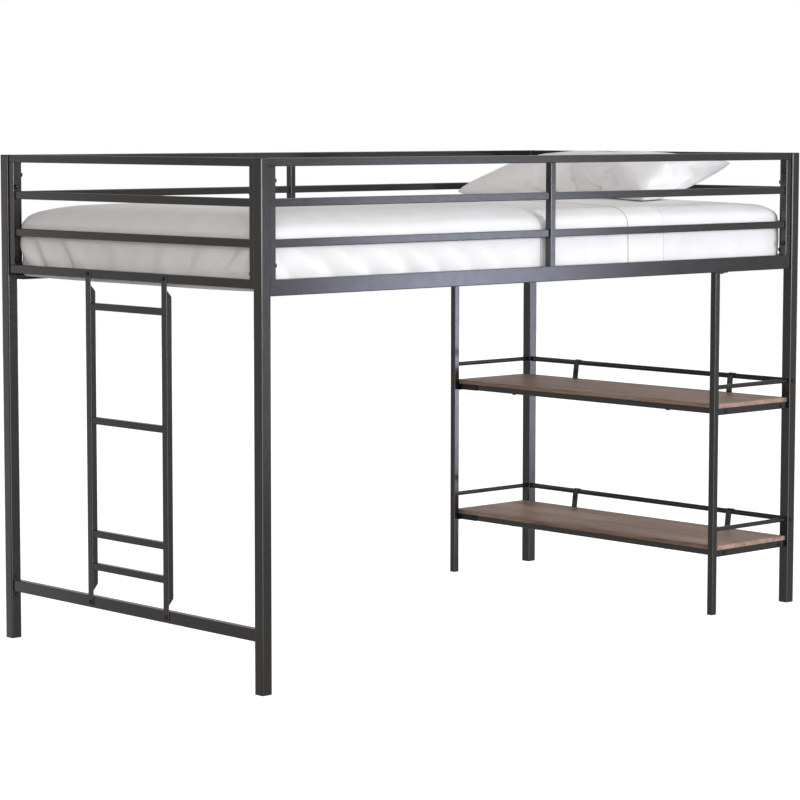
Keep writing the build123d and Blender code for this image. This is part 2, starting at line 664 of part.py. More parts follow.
board_screw = make_hex_screw(LONG_TUBE_HEIGHT + BOARD_SCREW_GRIP, BOARD_SCREW_HEAD)
with BuildPart() as board_screws:
    places = [
        facing((x, sy * BRACE_OFFSET, top - BOARD_THICK - LONG_TUBE_HEIGHT), (0, 0, 1))
        for top in BOARD_TOPS
        for x in brace_screw_x
        for _, sy in FACES
    ]
    with Locations(*places):
        add(board_screw)
save(board_screws, "board_screws")

galley_bolt = make_bolt(POST + GALLEY_BOLT_REACH, HEAD_HEIGHT)
with BuildPart() as galley_bolts:
    places = [
        facing((POST_X, sy * HALF_W, top + GALLEY_RISE), (0, -sy, 0))
        for top in BOARD_TOPS
        for _, sy in FACES
    ]
    with Locations(*places):
        add(galley_bolt)
save(galley_bolts, "galley_bolts")

# Threaded plugs pressed into the ends of the long galley bars
with BuildPart() as galley_bar_inserts:
    for top in BOARD_TOPS:
        for _, sy in FACES:
            with BuildSketch(Plane.XZ.offset(-sy * INNER_Y)):
                with Locations((POST_X, top + GALLEY_RISE)):
                    Circle(GALLEY_LONG / 2 - GALLEY_WALL - PLUG_GAP)
                    Circle(NUT_BORE / 2, mode=Mode.SUBTRACT)
            extrude(amount=sy * INSERT_LENGTH)
save(galley_bar_inserts, "galley_bar_inserts")

nut_places = list(shelf_nut_places)
for point, way in side_panel_bolts + end_panel_bolts:
    start = Vector(point) + Vector(way) * (STILE + POST_WALL)
    nut_places.append(facing(start, way))
for point, way in cross_rail_bolts:
    nut_places.append(facing(Vector(point) + Vector(way) * (END_PLATE + POST_WALL), way))
for point, way in ladder_bolts:
    nut_places.append(facing(Vector(point) + Vector(way) * (LADDER_TAB + TUBE_WALL), way))
for point, way in top_plate_bolts:
    nut_places.append(facing(Vector(point) + Vector(way) * (TOP_PLATE + TUBE_WALL), way))
nut = make_nut()
with BuildPart() as hex_nuts:
    with Locations(*nut_places):
        add(nut)
save(hex_nuts, "hex_nuts")

# ---- bedding: plain closed solids of the right size ----
half_x, half_y = MATTRESS_HALF
with BuildPart() as mattress:
    with BuildSketch(Plane.XY.offset(MATTRESS_BOTTOM)):
        RectangleRounded(2 * half_x, 2 * half_y, MATTRESS_CORNER)
    extrude(amount=MATTRESS_TOP - MATTRESS_BOTTOM)
    fillet(mattress.faces().sort_by(Axis.Z)[-1].edges(), radius=MATTRESS_EDGE)
    fillet(mattress.faces().sort_by(Axis.Z)[0].edges(), radius=MATTRESS_EDGE / 2)
save(mattress, "mattress")

def rounded_block(side, top, edge_radius, bottom):
    """A block with round edges, wider and longer than the mattress by side and taller by top."""
    with BuildPart() as block:
        with BuildSketch(Plane.XY.offset(bottom)):
            RectangleRounded(2 * (half_x + side), 2 * (half_y + side), MATTRESS_CORNER + side)
        extrude(amount=MATTRESS_TOP + top - bottom)
        fillet(block.faces().sort_by(Axis.Z)[-1].edges(), radius=edge_radius)
    return block.part


def make_cover(gap, side, top, edge_radius, end):
    """A cover that lies on the mattress from the ladder end to x = end and hangs down three sides."""
    hollow = rounded_block(gap, gap, MATTRESS_EDGE, BEDDING_HEM - MATTRESS_EDGE)
    outside = rounded_block(gap + side, gap + top, edge_radius, BEDDING_HEM)
    with BuildPart() as cover:
        add(outside)
        add(hollow, mode=Mode.SUBTRACT)
        with Locations((end, 0, BEDDING_HEM - MATTRESS_EDGE)):
            Box(LENGTH, WIDTH, HEIGHT, align=(Align.MIN, Align.CENTER, Align.MIN), mode=Mode.SUBTRACT)
    return cover


# The sheet lies over the mattress, and the comforter over the sheet
top_sheet = make_cover(SOFT_GAP, SHEET, SHEET, MATTRESS_EDGE + SHEET, SHEET_END)
save(top_sheet, "top_sheet")
over_sheet = SOFT_GAP + SHEET + SOFT_GAP
comforter = make_cover(over_sheet, COMFORTER_SIDE, COMFORTER_TOP, COMFORTER_EDGE, COMFORTER_END)
save(comforter, "comforter")

# The pillow lies on the mattress and leans up towards the shelf-end guard rails
pillow_plane = Plane.XY.rotated((0, -PILLOW_TILT, 0))
with BuildPart() as pillow_flat:
    with BuildSketch(pillow_plane.offset(-PILLOW[2] / 2)):
        RectangleRounded(PILLOW[0], PILLOW[1], PILLOW_CORNER)
    extrude(amount=PILLOW[2])
    fillet(pillow_flat.faces().sort_by(Axis.Z)[-1].edges(), radius=PILLOW_EDGE)
    fillet(pillow_flat.faces().sort_by(Axis.Z)[0].edges(), radius=PILLOW_EDGE)
pillow_lift = MATTRESS_TOP + PILLOW_REST - pillow_flat.part.bounding_box().min.Z
with BuildPart() as pillow:
    with Locations((PILLOW_CENTRE[0], PILLOW_CENTRE[1], pillow_lift)):
        add(pillow_flat.part)
save(pillow, "pillow")
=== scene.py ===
import json
import math

import bmesh
import bpy
import numpy as np
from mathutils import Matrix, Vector, noise


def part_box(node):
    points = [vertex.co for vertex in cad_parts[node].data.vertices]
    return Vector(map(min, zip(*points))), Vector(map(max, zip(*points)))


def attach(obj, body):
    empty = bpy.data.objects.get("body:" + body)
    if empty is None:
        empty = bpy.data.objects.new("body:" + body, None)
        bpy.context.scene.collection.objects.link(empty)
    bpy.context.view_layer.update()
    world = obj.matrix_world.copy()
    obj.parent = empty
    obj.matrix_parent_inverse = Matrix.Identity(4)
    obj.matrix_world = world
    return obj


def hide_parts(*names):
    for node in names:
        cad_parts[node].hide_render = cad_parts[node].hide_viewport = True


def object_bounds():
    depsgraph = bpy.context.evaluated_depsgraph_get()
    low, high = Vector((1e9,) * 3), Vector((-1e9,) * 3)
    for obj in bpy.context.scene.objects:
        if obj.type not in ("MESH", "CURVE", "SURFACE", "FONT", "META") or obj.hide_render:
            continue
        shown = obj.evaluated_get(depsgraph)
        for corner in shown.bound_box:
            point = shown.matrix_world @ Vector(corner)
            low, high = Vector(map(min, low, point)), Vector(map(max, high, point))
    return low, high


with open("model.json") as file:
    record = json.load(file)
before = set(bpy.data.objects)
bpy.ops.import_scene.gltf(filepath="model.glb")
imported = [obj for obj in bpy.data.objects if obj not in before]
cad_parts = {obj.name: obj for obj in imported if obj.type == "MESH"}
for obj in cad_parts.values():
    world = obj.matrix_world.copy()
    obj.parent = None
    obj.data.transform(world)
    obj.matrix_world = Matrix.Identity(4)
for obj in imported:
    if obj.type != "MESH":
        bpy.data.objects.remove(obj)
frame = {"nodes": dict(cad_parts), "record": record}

# The looks of a made-up loft bed: camera, studio, materials and soft goods. Metres, in the packed
# frame: +X from the ladder end to the shelf end, the front long side faces -Y, Z is up and z = 0 is
# the floor.

cad_low, cad_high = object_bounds()
scene = bpy.context.scene

# ---- camera: 42 degrees round from the front to the ladder end, just above the guard rails ----
CAMERA_PLACE = (-5.218, -5.530, 1.3505)
CAMERA_PITCH = 5.56
CAMERA_YAW = 42.37
LENS = 125.82
SENSOR = 36.0
SHIFT = (0.0411, -0.0028)


def make_camera():
    data = bpy.data.cameras.new("camera")
    data.lens = LENS
    data.sensor_width = SENSOR
    data.shift_x, data.shift_y = SHIFT
    data.clip_end = 60.0
    camera = bpy.data.objects.new("camera", data)
    camera.location = CAMERA_PLACE
    camera.rotation_euler = (math.radians(90 - CAMERA_PITCH), 0, math.radians(-CAMERA_YAW))
    scene.collection.objects.link(camera)
    scene.camera = camera


# ---- studio ----
WORLD_LIGHT = 0.50
FLOOR_SIZE = 16.0


def area_light(name, azimuth, elevation, distance, size, power, colour):
    """A softbox that looks at the middle of the bed. Azimuth 0 is in front, 90 at the shelf end."""
    centre = (cad_low + cad_high) / 2
    a, e = math.radians(azimuth), math.radians(elevation)
    way = Vector((math.sin(a) * math.cos(e), -math.cos(a) * math.cos(e), math.sin(e)))
    data = bpy.data.lights.new(name, "AREA")
    data.shape = "RECTANGLE"
    data.size, data.size_y = size
    data.energy = power
    data.color = colour
    light = bpy.data.objects.new(name, data)
    light.location = centre + way * distance
    light.rotation_euler = (-way).to_track_quat("-Z", "Y").to_euler()
    scene.collection.objects.link(light)
    return light


def make_world():
    world = bpy.data.worlds.new("studio")
    scene.world = world
    world.use_nodes = True
    tree = world.node_tree
    light = tree.nodes["Background"]
    light.inputs["Color"].default_value = (1.0, 0.965, 0.935, 1.0)
    light.inputs["Strength"].default_value = WORLD_LIGHT
    white = tree.nodes.new("ShaderNodeBackground")
    white.inputs["Strength"].default_value = 1.0
    white.inputs["Color"].default_value = (1.0, 1.0, 1.0, 1.0)
    seen = tree.nodes.new("ShaderNodeLightPath")
    mix = tree.nodes.new("ShaderNodeMixShader")
    tree.links.new(seen.outputs["Is Camera Ray"], mix.inputs[0])
    tree.links.new(light.outputs[0], mix.inputs[1])
    tree.links.new(white.outputs[0], mix.inputs[2])
    tree.links.new(mix.outputs[0], tree.nodes["World Output"].inputs["Surface"])


def make_floor():
    """Two planes: the camera sees the white one, and the grey one under it bounces the light."""
    made = []
    half = FLOOR_SIZE / 2
    planes = (("floor_seen", -0.001, 0.3, 1.0), ("floor_bounce", -0.002, 0.45, 0.0))
    for name, z, colour, glow in planes:
        mesh = bpy.data.meshes.new(name)
        corners = [(-half, -half, z), (half, -half, z), (half, half, z), (-half, half, z)]
        mesh.from_pydata(corners, [], [(0, 1, 2, 3)])
        floor = bpy.data.objects.new(name, mesh)
        scene.collection.objects.link(floor)
        material = bpy.data.materials.new(name)
        material.use_nodes = True
        shader = material.node_tree.nodes["Principled BSDF"]
        shader.inputs["Base Color"].default_value = (colour, colour, colour, 1.0)
        shader.inputs["Roughness"].default_value = 0.9
        shader.inputs["Specular IOR Level"].default_value = 0.0
        shader.inputs["Emission Color"].default_value = (1.0, 1.0, 1.0, 1.0)
        shader.inputs["Emission Strength"].default_value = glow
        mesh.materials.append(material)
        made.append(floor)
    seen, bounce = made
    seen.visible_diffuse = seen.visible_glossy = seen.visible_shadow = False
    bounce.visible_camera = bounce.visible_glossy = False


def make_studio():
    """Softboxes near the bed, and far ones that the metal's faces and round edges reflect."""
    scene.view_settings.view_transform = "Standard"
    scene.view_settings.look = "None"
    make_world()
    make_floor()
    area_light("strip_softbox", 44.0, -4.1, 120.0, (10.5, 12.8), 2750, (0.73, 0.77, 1.0))
    area_light("low_softbox", 14, 7, 9.0, (4.0, 2.6), 460, (0.90, 0.935, 1.0))
    area_light("side_softbox", 50, 40, 6.0, (2.4, 1.8), 70, (0.95, 0.97, 1.0))
    area_light("back_glow", -149.5, -6.0, 120.0, (24.0, 26.0), 1000, (1.0, 0.98, 0.93))
    edge = area_light("edge_softbox", -5, -5.0, 28.0, (24.0, 6.0), 1800, (0.82, 0.88, 1.0))
    edge.visible_diffuse = False
    area_light("left_fill", -46, 14, 6.0, (3.6, 2.6), 95, (1.0, 0.95, 0.91))


# ---- materials ----
def add_node(tree, kind, settings=None, inputs=None):
    """A shader node with its settings, and its inputs as values or as other nodes' outputs."""
    node = tree.nodes.new(kind)
    for name, value in (settings or {}).items():
        setattr(node, name, value)
    for name, value in (inputs or {}).items():
        socket = node.inputs[name]
        if isinstance(value, bpy.types.NodeSocket):
            tree.links.new(value, socket)
        else:
            socket.default_value = value
    return node


def noise_of(tree, place, scale, detail=2.0, rough=0.5):
    """A noise texture's value, from 0 to 1."""
    inputs = {"Vector": place, "Scale": scale, "Detail": detail, "Roughness": rough}
    return add_node(tree, "ShaderNodeTexNoise", inputs=inputs).outputs["Fac"]


def spread(tree, value, low, high, start=0.25, end=0.75):
    """A value from 0 to 1, spread over low to high."""
    inputs = {"Value": value, "From Min": start, "From Max": end, "To Min": low, "To Max": high}
    return add_node(tree, "ShaderNodeMapRange", inputs=inputs).outputs["Result"]


def ramp(tree, value, stops):
    """Colours along a value: stops is [(place, (r, g, b))]."""
    node = add_node(tree, "ShaderNodeValToRGB", inputs={"Fac": value})
    elements = node.color_ramp.elements
    while len(elements) < len(stops):
        elements.new(0.5)
    for element, (place, colour) in zip(elements, stops):
        element.position = place
        element.color = (*colour, 1.0)
    return node.outputs["Color"]


def multiplied(tree, colour, shade, share=1.0):
    """A colour darkened by a shade, by a share from 0 to 1."""
    settings = {"data_type": "RGBA", "blend_type": "MULTIPLY"}
    return add_node(tree, "ShaderNodeMix", settings, {0: share, 6: colour, 7: shade}).outputs[2]


def drawn_out(tree, place, share):
    """Coordinates that change slowly along Y, so that a texture is drawn out along the grain."""
    inputs = {"Vector": place, "Scale": (1.0, share, 1.0)}
    return add_node(tree, "ShaderNodeMapping", inputs=inputs).outputs["Vector"]


def bump(tree, height, distance, normal=None):
    """A normal bent by a height, of a distance in metres."""
    inputs = {"Height": height, "Distance": distance, "Strength": 1.0}
    if normal is not None:
        inputs["Normal"] = normal
    return add_node(tree, "ShaderNodeBump", inputs=inputs).outputs["Normal"]


def start_material(name):
    material = bpy.data.materials.new(name)
    material.use_nodes = True
    tree = material.node_tree
    shader = tree.nodes["Principled BSDF"]
    place = add_node(tree, "ShaderNodeTexCoord").outputs["Object"]
    return material, tree, shader, place


def powder_coat(name, dark, light, rough):
    """Baked powder coat: a fine orange-peel texture, slightly uneven in tone and gloss."""
    material, tree, shader, place = start_material(name)
    patches = noise_of(tree, place, 7.0, 3.0)
    tree.links.new(ramp(tree, patches, [(0.3, dark), (0.7, light)]), shader.inputs["Base Color"])
    rubbed = noise_of(tree, place, 38.0, 4.0, 0.6)
    tree.links.new(spread(tree, rubbed, rough - 0.015, rough + 0.02), shader.inputs["Roughness"])
    peel = noise_of(tree, place, 420.0, 2.0)
    grit = noise_of(tree, place, 1500.0, 1.0)
    coarse = bump(tree, peel, 0.00002)
    tree.links.new(bump(tree, grit, 0.000006, coarse), shader.inputs["Normal"])
    shader.inputs["Specular IOR Level"].default_value = 0.75
    return material


def black_zinc(name):
    """Blackened screws and nuts: darker and shinier, with fine turning marks."""
    material, tree, shader, place = start_material(name)
    spots = noise_of(tree, place, 300.0, 3.0)
    black = ramp(tree, spots, [(0.3, (0.008, 0.008, 0.009)), (0.75, (0.02, 0.02, 0.021))])
    tree.links.new(black, shader.inputs["Base Color"])
    tree.links.new(spread(tree, spots, 0.3, 0.45), shader.inputs["Roughness"])
    tree.links.new(bump(tree, noise_of(tree, place, 2500.0, 2.0), 0.00003), shader.inputs["Normal"])
    shader.inputs["Metallic"].default_value = 0.4
    return material


def moulded_plastic(name):
    """Matte moulded caps with a spark-eroded grain."""
    material, tree, shader, place = start_material(name)
    tone = noise_of(tree, place, 25.0, 2.0)
    grey = ramp(tree, tone, [(0.3, (0.024, 0.024, 0.024)), (0.7, (0.034, 0.034, 0.034))])
    tree.links.new(grey, shader.inputs["Base Color"])
    grain = noise_of(tree, place, 1800.0, 1.0)
    tree.links.new(spread(tree, grain, 0.55, 0.7), shader.inputs["Roughness"])
    tree.links.new(bump(tree, grain, 0.00005), shader.inputs["Normal"])
    return material


def walnut(name):
    """Walnut veneer: long figure and short pores along Y, under a matte lacquer."""
    material, tree, shader, place = start_material(name)
    along = drawn_out(tree, place, 0.07)
    wander = noise_of(tree, along, 9.0, 3.0, 0.55)
    inputs = {0: wander, 1: (0.05, 0.05, 0.05), 2: along}
    push = add_node(tree, "ShaderNodeVectorMath", {"operation": "MULTIPLY_ADD"}, inputs)
    pushed = push.outputs["Vector"]
    figure = noise_of(tree, pushed, 85.0, 5.0, 0.62)
    wide = noise_of(tree, pushed, 16.0, 2.0)
    inputs = {0: 0.45, 2: figure, 3: wide}
    both = add_node(tree, "ShaderNodeMix", {"data_type": "FLOAT"}, inputs).outputs[0]
    browns = [
        (0.38, (0.175, 0.107, 0.076)), (0.5, (0.325, 0.215, 0.164)), (0.62, (0.435, 0.304, 0.236)),
    ]
    pores = noise_of(tree, drawn_out(tree, place, 0.035), 620.0, 2.0, 0.5)
    pore = spread(tree, pores, 0.0, 1.0, 0.36, 0.46)
    shade = ramp(tree, pore, [(0.0, (0.42, 0.38, 0.36)), (1.0, (1.0, 1.0, 1.0))])
    wood = multiplied(tree, ramp(tree, both, browns), shade, 0.55)
    tree.links.new(wood, shader.inputs["Base Color"])
    tree.links.new(spread(tree, figure, 0.36, 0.48), shader.inputs["Roughness"])
    tree.links.new(bump(tree, pore, 0.00008), shader.inputs["Normal"])
    shader.inputs["Specular IOR Level"].default_value = 0.4
    return material


def calculate(tree, operation, *values):
    """The result of a math node. The values are numbers or other nodes' outputs."""
    settings = {"operation": operation}
    return add_node(tree, "ShaderNodeMath", settings, dict(enumerate(values))).outputs[0]


def painted_seam_shadows(tree, place, colour, shadow_lines):
    """Darken a colour in painted shadow lines along seams and free edges: shadow_lines is [(x, half
    width, how dark the middle is)].
    """
    x = add_node(tree, "ShaderNodeSeparateXYZ", inputs={"Vector": place}).outputs["X"]
    for where, half, depth in shadow_lines:
        # each band is painted shade, darkest on the line itself
        away = calculate(tree, "ABSOLUTE", calculate(tree, "SUBTRACT", x, where))
        inputs = {"Value": away, "From Min": 0.0, "From Max": half, "To Min": depth, "To Max": 1.0}
        light = add_node(tree, "ShaderNodeMapRange", {"interpolation_type": "SMOOTHSTEP"}, inputs)
        colour = multiplied(tree, colour, light.outputs["Result"])
    return colour


WAVE_BANDS = 20.0 / (2 * math.pi)       # bands in a metre of Blender's wave texture at scale 1


def woven_cotton(name, low, high, threads, puff, sheen, shadow_lines=()):
    """Plain-weave cotton: crossed threads (threads per metre), soft slubs, a little sheen and any
    painted shadow lines.
    """
    material, tree, shader, place = start_material(name)
    tone = noise_of(tree, place, 14.0, 3.0)
    # painted shadow lines darken the colour along the seams and free edges
    colour = painted_seam_shadows(tree, place, ramp(tree, tone, [(0.3, low), (0.7, high)]), shadow_lines)
    tree.links.new(colour, shader.inputs["Base Color"])
    shader.inputs["Roughness"].default_value = 0.85
    shader.inputs["Specular IOR Level"].default_value = 0.25
    shader.inputs["Sheen Weight"].default_value = sheen
    shader.inputs["Sheen Roughness"].default_value = 0.5
    inputs = {"Vector": place, "Scale": threads / WAVE_BANDS, "Distortion": 0.6, "Detail": 1.0}
    waves = []
    for way in ("X", "Y", "Z"):
        settings = {"wave_type": "BANDS", "bands_direction": way}
        waves.append(add_node(tree, "ShaderNodeTexWave", settings, inputs).outputs["Fac"])
    total = waves[0]
    for wave in waves[1:]:
        total = calculate(tree, "ADD", total, wave)
    weave = bump(tree, total, 0.00004)
    slub = noise_of(tree, place, 90.0, 4.0, 0.6)
    tree.links.new(bump(tree, slub, puff, weave), shader.inputs["Normal"])
    return material


# Painted shadow lines across the bed, at stitch seams and free edges, in metres from its middle:
# (x, half width, how dark)
sheet_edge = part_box("top_sheet")[1].x
comforter_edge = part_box("comforter")[1].x
SHEET_SHADOW_LINES = [(sheet_edge - 0.140, 0.0024, 0.42), (sheet_edge, 0.0030, 0.42)]
COMFORTER_SHADOW_LINES = [(comforter_edge - 0.022, 0.0030, 0.62), (comforter_edge + 0.001, 0.0035, 0.6)]


def cotton(name, low, high, *rest):
    """A nearly white, slightly cool cotton."""
    return woven_cotton(name, (low, low, low + 0.01), (high, high, high + 0.01), *rest)


METAL_TONES = ((0.0080, 0.0075, 0.0060), (0.0100, 0.0094, 0.0077))

materials = {
    "dark_metal": powder_coat("dark_metal", *METAL_TONES, 0.13),
    "black_hardware": black_zinc("black_hardware"),
    "cap_plastic": moulded_plastic("cap_plastic"),
    "walnut_board": walnut("walnut_board"),
    "fitted_sheet": cotton("fitted_sheet", 0.80, 0.85, 2200, 0.0003, 0.10),
    "top_sheet": cotton("top_sheet", 0.82, 0.87, 2200, 0.0003, 0.10, SHEET_SHADOW_LINES),
    "comforter": cotton("comforter", 0.79, 0.84, 1400, 0.0007, 0.2, COMFORTER_SHADOW_LINES),
    "ticking": woven_cotton("ticking", (0.62, 0.60, 0.56), (0.70, 0.68, 0.64), 1200, 0.0006, 0.1),
    "pillow_case": cotton("pillow_case", 0.82, 0.87, 2200, 0.0004, 0.12),
}


def dress_frame():
    """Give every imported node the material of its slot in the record."""
    for part in frame["record"]["subparts"]:
        mesh = frame["nodes"][part["node"]].data
        mesh.materials.clear()
        mesh.materials.append(materials[part["material_slot"]])


# ---- soft goods: rounded blocks of cloth, laid out as a flat middle with rings round it ----
MM = 0.001


def new_piece(name, points, faces, material, body):
    """A smooth-shaded mesh object with the given material, that rides on a body."""
    mesh = bpy.data.meshes.new(name)
    mesh.from_pydata([tuple(p) for p in points], [], faces)
    mesh.validate()
    mesh.shade_smooth()
    mesh.materials.append(materials[material])
    piece = bpy.data.objects.new(name, mesh)
    scene.collection.objects.link(piece)
    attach(piece, body)
    return piece


def subdivide(piece):
    modifier = piece.modifiers.new("round", "SUBSURF")
    modifier.levels = modifier.render_levels = 1


def smooth_step(low, high, value):
    """0 below low, 1 above high and smooth between, or the other way round if low is the higher."""
    t = np.clip((value - low) / (high - low), 0.0, 1.0)
    return t * t * (3 - 2 * t)


def uneven(points, scale, seed):
    """Soft noise at points, about -1 to 1."""
    shift = Vector((seed * 7.31, seed * 3.17, seed * 5.93))
    return np.array([noise.noise(Vector(p) * scale + shift) for p in points])


def crown_share(x, y):
    """How much of the crown a place has, from its shares of the half length and half width."""
    along = np.where(x < 0, np.abs(x) ** 5, np.abs(x) ** 14)
    return np.clip(1 - along, 0, 1) * np.clip(1 - y * y, 0, 1)


class Block:
    """The layout of cloth over a block: each point has a core point, an edge point and a way out.

    half is half the block's size in plan, corner the radius of its upright corners, zone how far in
    the round of the top edge begins. The cloth covers x up to end, or all round if end is None.
    """

    def __init__(self, half, corner, zone, step, end=None, columns=()):
        self.half, self.corner, self.zone, self.end = half, corner, zone, end
        core_x, core_y = half[0] - zone, half[1] - zone
        far = core_x if end is None else end
        count = max(2, round((far + core_x) / step))
        xs = list(np.linspace(-core_x, far, count + 1))
        if columns:
            first, last = min(columns) - step / 2, max(columns) + step / 2
            kept = [x for x in xs if not first < x < last or x in (-core_x, far)]
            xs = sorted(kept + list(columns))
        ys = np.linspace(-core_y, core_y, max(2, round(2 * core_y / step)) + 1)
        self.xs, self.ys = np.array(xs), ys
        last_x, last_y = len(xs) - 1, len(ys) - 1
        front = [(i, 0, (xs[i], -half[1]), (0.0, -1.0)) for i in range(last_x, -1, -1)]
        left = [(0, j, (-half[0], ys[j]), (-1.0, 0.0)) for j in range(last_y + 1)]
        back = [(i, last_y, (xs[i], half[1]), (0.0, 1.0)) for i in range(last_x + 1)]
        self.walk = front + self.round_corner(0, 0, -1, -1, step, False)
        self.walk += left + self.round_corner(0, last_y, -1, 1, step, True) + back
        if end is None:
            right = [(last_x, j, (half[0], ys[j]), (1.0, 0.0)) for j in range(last_y, -1, -1)]
            self.walk += self.round_corner(last_x, last_y, 1, 1, step, False)
            self.walk += right + self.round_corner(last_x, 0, 1, -1, step, True)
        self.core_xy = np.array([(x, y) for x in self.xs for y in self.ys])
        self.core_index = np.array([i * len(ys) + j for i, j, _, _ in self.walk])
        self.edge = np.array([e for _, _, e, _ in self.walk])
        self.way = np.array([n for _, _, _, n in self.walk])
        self.inner = self.core_xy[self.core_index]

    def round_corner(self, i, j, sx, sy, step, from_side):
        """Walk points round one corner, from the long side to the end, or the other way."""
        half, corner, zone = self.half, self.corner, self.zone
        straight = zone - corner
        arc = corner * math.pi / 2
        length = 2 * straight + arc
        count = max(4, round(length / step))
        made = []
        for k in range(1, count):
            d = length * k / count
            if d < straight:
                edge, way = (sx * (half[0] - zone + d), sy * half[1]), (0.0, sy)
            elif d < straight + arc:
                angle = (d - straight) / corner
                way = (sx * math.sin(angle), sy * math.cos(angle))
                edge_x = sx * (half[0] - corner) + corner * way[0]
                edge = (edge_x, sy * (half[1] - corner) + corner * way[1])
            else:
                past = d - straight - arc
                edge, way = (sx * half[0], sy * (half[1] - corner - past)), (sx, 0.0)
            made.append((i, j, edge, way))
        return made[::-1] if from_side else made

    def points(self, rings, top, crown):
        """Points of the cloth: the core at height top, then one row of the walk for each ring.

        A ring is (share of the way from core to edge, distance past the edge, height).
        """
        def lift(xy):
            return crown * crown_share(xy[:, 0] / self.half[0], xy[:, 1] / self.half[1])

        rows = [np.column_stack([self.core_xy, top + lift(self.core_xy)])]
        for share, out, height in rings:
            xy = self.inner + (self.edge - self.inner) * share + self.way * out
            rows.append(np.column_stack([xy, height + lift(xy)]))
        return np.vstack(rows)

    def faces(self, ring_count):
        """Quads of the core and of the rings, facing out, and triangles at the core's corners."""
        made = []
        nx, ny, n = len(self.xs), len(self.ys), len(self.walk)
        for i in range(nx - 1):
            for j in range(ny - 1):
                a = i * ny + j
                made.append((a, a + ny, a + ny + 1, a + 1))
        closed = self.end is None
        rows = [list(self.core_index)]
        rows += [list(range(nx * ny + k * n, nx * ny + (k + 1) * n)) for k in range(ring_count)]
        for above, below in zip(rows, rows[1:]):
            for p in range(n if closed else n - 1):
                q = (p + 1) % n
                corners = [above[p], below[p], below[q], above[q]]
                made.append(tuple(dict.fromkeys(corners))[::-1])
        return made


def edge_rings(count, drop, top, power):
    """Rings over the rounded top edge, from the flat down to the upright side."""
    made = []
    for k in range(1, count + 1):
        angle = math.pi / 2 * k / count
        share = math.sin(angle) ** (2 / power)
        made.append((share, 0.0, top - drop * (1 - math.cos(angle) ** (2 / power))))
    return made


def side_rings(start, stop, step):
    """Rings straight down an upright side."""
    count = max(2, round((start - stop) / step))
    return [(1.0, 0.0, start + (stop - start) * k / count) for k in range(1, count + 1)]


def under_rings(start, floor, radius, reach, step):
    """Rings round the bottom edge and inwards under the block."""
    made = []
    for k in range(1, 5):
        angle = math.pi / 2 * k / 4
        height = start - (start - floor) * math.sin(angle)
        made.append((1.0, -radius * (1 - math.cos(angle)), height))
    count = max(2, round((reach - radius) / step))
    made += [(1.0, -radius - (reach - radius) * k / count, floor) for k in range(1, count + 1)]
    return made


def outward(points, faces):
    """Unit normals of a mesh's points."""
    mesh = bpy.data.meshes.new("measure")
    mesh.from_pydata([tuple(p) for p in points], [], faces)
    normals = np.zeros(len(points) * 3, np.float32)
    mesh.vertices.foreach_get("normal", normals)
    bpy.data.meshes.remove(mesh)
    return normals.reshape(-1, 3)


def creases(points, ways, folds, top, hem):
    """How far soft folds on the upright sides stand out, in metres.

    A fold is (side, place at the hem, lean, width, depth). The side is front, back, end (the ladder
    end) or far (the shelf end). Lean is how far the fold runs sideways for each metre that it goes
    up. Each ridge has a hollow beside it.
    """
    total = np.zeros(len(points))
    height = np.clip((points[:, 2] - hem) / (top - hem), 0.0, 1.3)
    fade = smooth_step(1.0, 0.35, height) * smooth_step(-0.2, 0.12, height)
    facing = {"front": -ways[:, 1], "back": ways[:, 1], "end": -ways[:, 0], "far": ways[:, 0]}
    for side, place, lean, width, depth in folds:
        across = points[:, 0] if side in ("front", "back") else points[:, 1]
        on_side = smooth_step(0.5, 0.95, facing[side])
        off = (across - place - lean * (points[:, 2] - hem)) / width
        ridge = np.exp(-off * off) - 0.95 * np.exp(-((off - 1.35) ** 2) * 2.6)
        total += depth * ridge * fade * on_side
    return total


# ---- bedding ----
mattress_low, mattress_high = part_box("mattress")
comforter_low, comforter_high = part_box("comforter")
sheet_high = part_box("top_sheet")[1]
pillow_low, pillow_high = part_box("pillow")

BED_TOP = mattress_high.z
BED_FLOOR = mattress_low.z + 0.8 * MM
HEM = comforter_low.z
COVER_HALF = (mattress_high.x + 5 * MM, mattress_high.y + 1 * MM)
BLOCK_CORNER = 13 * MM
EDGE_ZONE = 60 * MM
EDGE_DROP = 36 * MM
BOTTOM_ROUND = 10 * MM
LEAN = 5 * MM
BED_CROWN = 14 * MM
CLOTH_STEP = 13 * MM
SIDE_STEP = 8 * MM
SHEET_LIFT = 0.9 * MM

# Room for the bedding between the rails: less beside the lower rails than above them
RAIL_TOP = 0.9895
SIDE_LIMIT = 0.5000         # 2 mm from the side rails
END_LIMIT = -0.9636         # 1.4 mm from the ladder end's bottom rail


def leaning(rings):
    """Rings whose sides lean in a little towards the top."""
    tall = BED_TOP - HEM

    def leaned(share, out, z):
        return share, out - share * LEAN * max(0.0, (z - HEM) / tall) ** 2, z

    return [leaned(*ring) for ring in rings]


def sag_ends(points):
    """Let the unsupported ends, past the outer slats, hang a little lower."""
    past = smooth_step(0.82, 0.87, np.abs(points[:, 0]))
    low = smooth_step(BED_FLOOR + 40 * MM, BED_FLOOR + 4 * MM, points[:, 2])
    middle = np.clip(1 - (points[:, 1] / COVER_HALF[1]) ** 4, 0, 1)
    points[:, 2] -= (4.0 + 3.5 * middle) * MM * past * low


def swell_end(points):
    """Let the pillow end stand out a little at mid height."""
    middle, half = (BED_TOP + BED_FLOOR) / 2, (BED_TOP - BED_FLOOR) / 2
    height = np.clip(1 - ((points[:, 2] - middle) / half) ** 2, 0, 1)
    points[:, 0] += 4.5 * MM * height * smooth_step(0.90, 0.95, points[:, 0])


